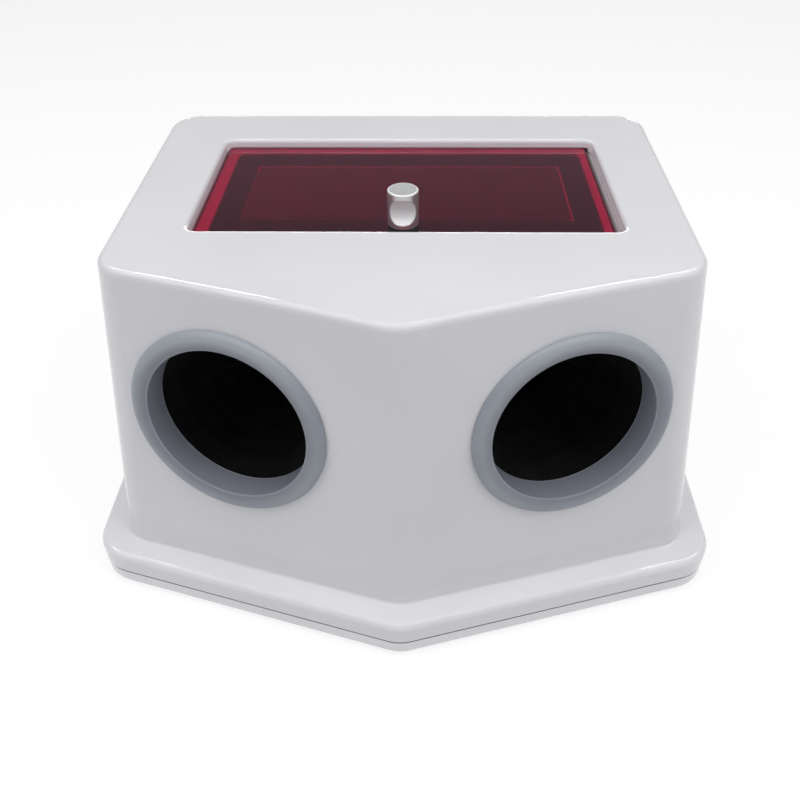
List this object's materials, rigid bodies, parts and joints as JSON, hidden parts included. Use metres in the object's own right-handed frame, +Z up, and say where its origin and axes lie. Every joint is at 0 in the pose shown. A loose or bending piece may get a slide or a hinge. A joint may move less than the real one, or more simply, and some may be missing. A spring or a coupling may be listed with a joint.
{
  "type": "dental film developing box",
  "caption": "White table-top dark box for developing small dental films by hand, with a V front, sleeved round hand ports, a lift-off red window and cups in a rack.",
  "frame": {"origin": "centre of the footprint at table level, under the rubber feet", "axes": "+X to the right seen from the front, +Y to the back, +Z up; the V front with the hand ports faces -Y"},
  "size_m": [0.3876, 0.3112, 0.2286],
  "materials": {
    "shell_white": "gloss outside, black paint inside",
    "black_foam": "matte",
    "steel": "satin",
    "black_rubber": "matte",
    "port_grey": "satin",
    "black_plastic": "satin",
    "black_cloth": "matte",
    "rack_plastic": "satin",
    "red_acrylic": "gloss, see-through",
    "satin_aluminium": "satin",
    "cup_plastic": "satin, smoke grey"
  },
  "bodies": {
    "box": {"housing": "shell_white", "base_plate": "shell_white", "base_gasket": "black_foam", "base_screws": "steel", "rubber_feet": "black_rubber", "foot_screws": "steel", "left_port_ring": "port_grey", "right_port_ring": "port_grey", "left_clamp_ring": "black_plastic", "right_clamp_ring": "black_plastic", "left_ring_screws": "steel", "right_ring_screws": "steel", "left_sleeve": "black_cloth", "right_sleeve": "black_cloth", "left_sleeve_band": "black_plastic", "right_sleeve_band": "black_plastic", "left_cuff_elastic": "black_rubber", "right_cuff_elastic": "black_rubber", "cup_rack": "rack_plastic", "rack_screws": "steel"},
    "lid": {"lid_panel": "red_acrylic", "lid_inner_panel": "red_acrylic", "lid_knob": "satin_aluminium", "knob_washer": "steel", "knob_screw": "steel"},
    "developer_cup": {"developer_cup": "cup_plastic"},
    "rinse_cup": {"rinse_cup": "cup_plastic"},
    "fixer_cup": {"fixer_cup": "cup_plastic"}
  },
  "joints": [
    {"name": "lid_lift", "type": "slide", "parent": "box", "child": "lid", "axis": [0, 0, 1], "range_m": [0, 0.15]},
    {"name": "developer_cup_lift", "type": "slide", "parent": "box", "child": "developer_cup", "axis": [0, 0, 1], "range_m": [0, 0.09]},
    {"name": "rinse_cup_lift", "type": "slide", "parent": "box", "child": "rinse_cup", "axis": [0, 0, 1], "range_m": [0, 0.09]},
    {"name": "fixer_cup_lift", "type": "slide", "parent": "box", "child": "fixer_cup", "axis": [0, 0, 1], "range_m": [0, 0.09]}
  ]
}
